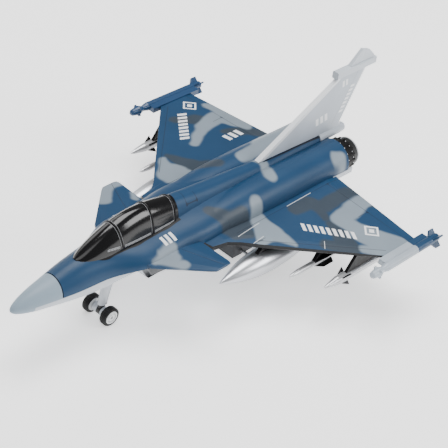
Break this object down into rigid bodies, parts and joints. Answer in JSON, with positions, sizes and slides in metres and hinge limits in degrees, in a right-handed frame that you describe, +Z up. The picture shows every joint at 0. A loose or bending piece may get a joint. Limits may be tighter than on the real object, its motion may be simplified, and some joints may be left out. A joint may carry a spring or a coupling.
{
  "type": "toy jet fighter with pull-back motor",
  "caption": "Free-rolling delta-wing toy jet with canards, twin exhausts, one tail fin, under-wing stores, wheeled undercarriage and a geared pull-back motor in its belly",
  "frame": {"origin": "on the ground under the middle of the model's bounding box, where the wheels stand at Z = 0", "axes": "X towards the port wing tip, Y from the nose to the tail, Z up"},
  "size_m": [0.153, 0.2094, 0.0808],
  "materials": {
    "body_paint": "moulded plastic, sprayed mid blue with pale and slate camouflage patches under a satin lacquer",
    "belly_plastic": "self-coloured pale grey plastic, unpainted",
    "wing_paint": "moulded plastic, sprayed blue, pale blue and slate grey with pale panel lines",
    "canopy_black": "gloss black plastic with silver frame lines",
    "fin_grey": "pale grey plastic with darker grey patches",
    "nozzle_black": "black plastic, satin",
    "petal_grey": "pale grey plastic, slightly metallic",
    "tip_store": "blue and pale grey painted plastic",
    "tank_silver": "vacuum-metallised silver plastic",
    "missile_silver": "silver painted plastic with black fins",
    "pylon_black": "black plastic",
    "leg_grey": "pale grey plastic",
    "tyre": "black soft plastic",
    "hub": "white plastic",
    "steel": "drawn steel wire",
    "motor_case": "dark grey plastic",
    "gear_plastic": "natural acetal",
    "spring_steel": "blued spring strip",
    "screw": "zinc-plated steel"
  },
  "bodies": {
    "airframe": {"upper_fuselage": "body_paint", "lower_fuselage": "belly_plastic", "canopy": "canopy_black", "wing_plate": "wing_paint", "canard_plate": "wing_paint", "tail_fin": "fin_grey", "nozzle_left": "nozzle_black", "nozzle_right": "nozzle_black", "nozzle_petals_left": "petal_grey", "nozzle_petals_right": "petal_grey", "main_gear_leg_left": "leg_grey", "main_gear_leg_right": "leg_grey", "motor_case_left": "motor_case", "motor_case_right": "motor_case", "tip_missile_left": "tip_store", "tip_missile_right": "tip_store", "drop_tank_left": "tank_silver", "drop_tank_right": "tank_silver", "tank_pylon_left": "pylon_black", "tank_pylon_right": "pylon_black", "inner_missile_left": "missile_silver", "inner_missile_right": "missile_silver", "inner_pylon_left": "pylon_black", "inner_pylon_right": "pylon_black", "outer_missile_left": "missile_silver", "outer_missile_right": "missile_silver", "outer_pylon_left": "pylon_black", "outer_pylon_right": "pylon_black", "nose_gear_leg": "leg_grey", "idler_shaft": "steel", "drum_arbor": "steel", "motor_screws": "screw", "body_screws": "screw"},
    "nose_wheels": {"nose_axle": "steel", "nose_tyre_left": "tyre", "nose_tyre_right": "tyre", "nose_hub_left": "hub", "nose_hub_right": "hub"},
    "main_wheels": {"main_axle": "steel", "main_tyre_left": "tyre", "main_tyre_right": "tyre", "main_hub_left": "hub", "main_hub_right": "hub", "drive_pinion": "gear_plastic"},
    "idler": {"idler_gear": "gear_plastic"},
    "drum": {"spring_drum": "gear_plastic", "mainspring": "spring_steel"}
  },
  "joints": [
    {"name": "nose_axle_spin", "type": "hinge", "parent": "airframe", "child": "nose_wheels", "pos_m": [0, -0.0551, 0.0043], "axis": [1, 0, 0], "continuous": true},
    {"name": "main_axle_spin", "type": "hinge", "parent": "airframe", "child": "main_wheels", "pos_m": [0, 0.0222, 0.0043], "axis": [1, 0, 0], "continuous": true},
    {"name": "idler_spin", "type": "hinge", "parent": "airframe", "child": "idler", "pos_m": [0, 0.0267, 0.00885], "axis": [1, 0, 0], "continuous": true},
    {"name": "drum_spin", "type": "hinge", "parent": "airframe", "child": "drum", "pos_m": [0, 0.0292, 0.0156], "axis": [1, 0, 0], "continuous": true}
  ],
  "couplings": [
    {"joint": "idler_spin", "follows": "main_axle_spin", "ratio": -0.33333},
    {"joint": "drum_spin", "follows": "main_axle_spin", "ratio": 0.095238}
  ]
}
